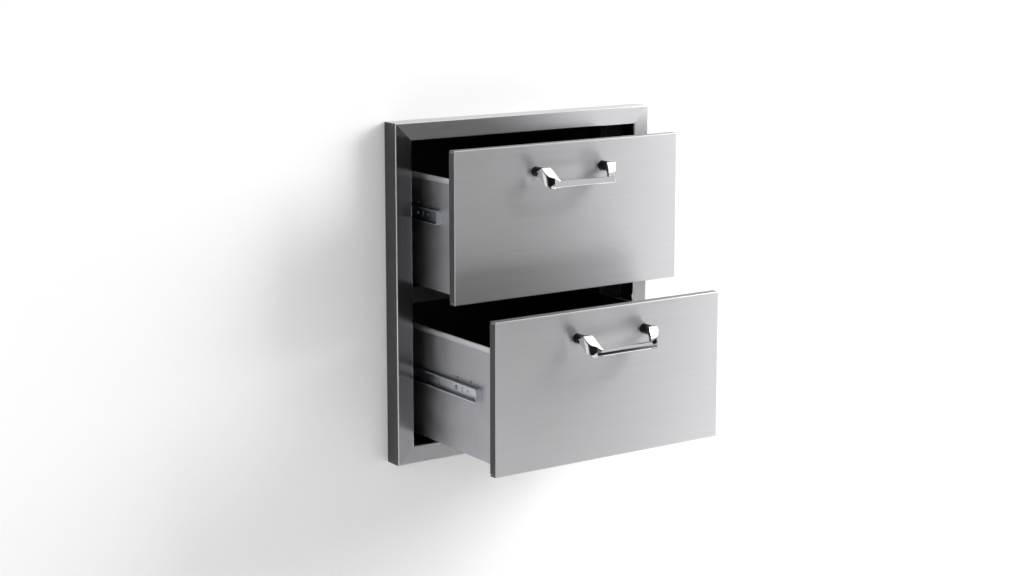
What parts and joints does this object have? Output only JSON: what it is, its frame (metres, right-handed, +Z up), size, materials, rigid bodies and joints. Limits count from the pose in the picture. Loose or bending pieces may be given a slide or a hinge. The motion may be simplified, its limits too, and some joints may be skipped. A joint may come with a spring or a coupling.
{
  "type": "outdoor kitchen drawer unit",
  "caption": "Stainless built-in drawer unit: a raised mitred face frame with drawers on ball slides, one above the other, and bar handles that lean down from their posts.",
  "frame": {"origin": "middle of the wall cut-out, in the plane of the wall's face", "axes": "+X to the right as seen from the front, +Y into the wall, +Z up"},
  "size_m": [0.4572, 0.7935, 0.508],
  "materials": {
    "frame_steel": "stainless sheet, brushed along each rail",
    "front_steel": "stainless sheet, brushed across",
    "chassis_steel": "stainless sheet, dull mill finish",
    "box_steel": "stainless sheet, matte",
    "slide_steel": "steel, bright zinc plate",
    "handle_chrome": "cast, polished and chrome plated",
    "fastener_steel": "plain stainless",
    "ball_steel": "ground and polished steel balls"
  },
  "bodies": {
    "root": {"frame_top_rail": "frame_steel", "frame_bottom_rail": "frame_steel", "frame_left_rail": "frame_steel", "frame_right_rail": "frame_steel", "middle_rail": "chassis_steel", "chassis_left_side": "chassis_steel", "chassis_right_side": "chassis_steel", "chassis_top": "chassis_steel", "chassis_bottom": "chassis_steel", "chassis_back": "chassis_steel", "front_left_post": "chassis_steel", "rear_left_post": "chassis_steel", "front_right_post": "chassis_steel", "rear_right_post": "chassis_steel", "upper_left_cabinet_member": "slide_steel", "upper_right_cabinet_member": "slide_steel", "lower_left_cabinet_member": "slide_steel", "lower_right_cabinet_member": "slide_steel", "chassis_rivets": "fastener_steel", "cabinet_member_screws": "fastener_steel"},
    "upper_drawer": {"upper_front_skin": "front_steel", "upper_front_liner": "box_steel", "upper_box_left_side": "box_steel", "upper_box_right_side": "box_steel", "upper_box_bottom": "box_steel", "upper_box_back": "box_steel", "upper_left_drawer_member": "slide_steel", "upper_right_drawer_member": "slide_steel", "upper_handle": "handle_chrome", "upper_handle_screws": "fastener_steel", "upper_box_screws": "fastener_steel", "upper_box_rivets": "fastener_steel", "upper_slide_screws": "fastener_steel"},
    "lower_drawer": {"lower_front_skin": "front_steel", "lower_front_liner": "box_steel", "lower_box_left_side": "box_steel", "lower_box_right_side": "box_steel", "lower_box_bottom": "box_steel", "lower_box_back": "box_steel", "lower_left_drawer_member": "slide_steel", "lower_right_drawer_member": "slide_steel", "lower_handle": "handle_chrome", "lower_handle_screws": "fastener_steel", "lower_box_screws": "fastener_steel", "lower_box_rivets": "fastener_steel", "lower_slide_screws": "fastener_steel"},
    "upper_cages": {"upper_left_retainer": "slide_steel", "upper_right_retainer": "slide_steel", "upper_left_balls": "ball_steel", "upper_right_balls": "ball_steel"},
    "lower_cages": {"lower_left_retainer": "slide_steel", "lower_right_retainer": "slide_steel", "lower_left_balls": "ball_steel", "lower_right_balls": "ball_steel"}
  },
  "joints": [
    {"name": "upper_slide", "type": "slide", "parent": "root", "child": "upper_drawer", "axis": [0, -1, 0], "range_m": [-0.11, 0.22]},
    {"name": "lower_slide", "type": "slide", "parent": "root", "child": "lower_drawer", "axis": [0, -1, 0], "range_m": [-0.214, 0.116]},
    {"name": "upper_cage_travel", "type": "slide", "parent": "root", "child": "upper_cages", "axis": [0, -1, 0], "range_m": [-0.055, 0.11]},
    {"name": "lower_cage_travel", "type": "slide", "parent": "root", "child": "lower_cages", "axis": [0, -1, 0], "range_m": [-0.107, 0.058]}
  ],
  "couplings": [
    {"joint": "upper_cage_travel", "follows": "upper_slide", "ratio": 0.5},
    {"joint": "lower_cage_travel", "follows": "lower_slide", "ratio": 0.5}
  ]
}
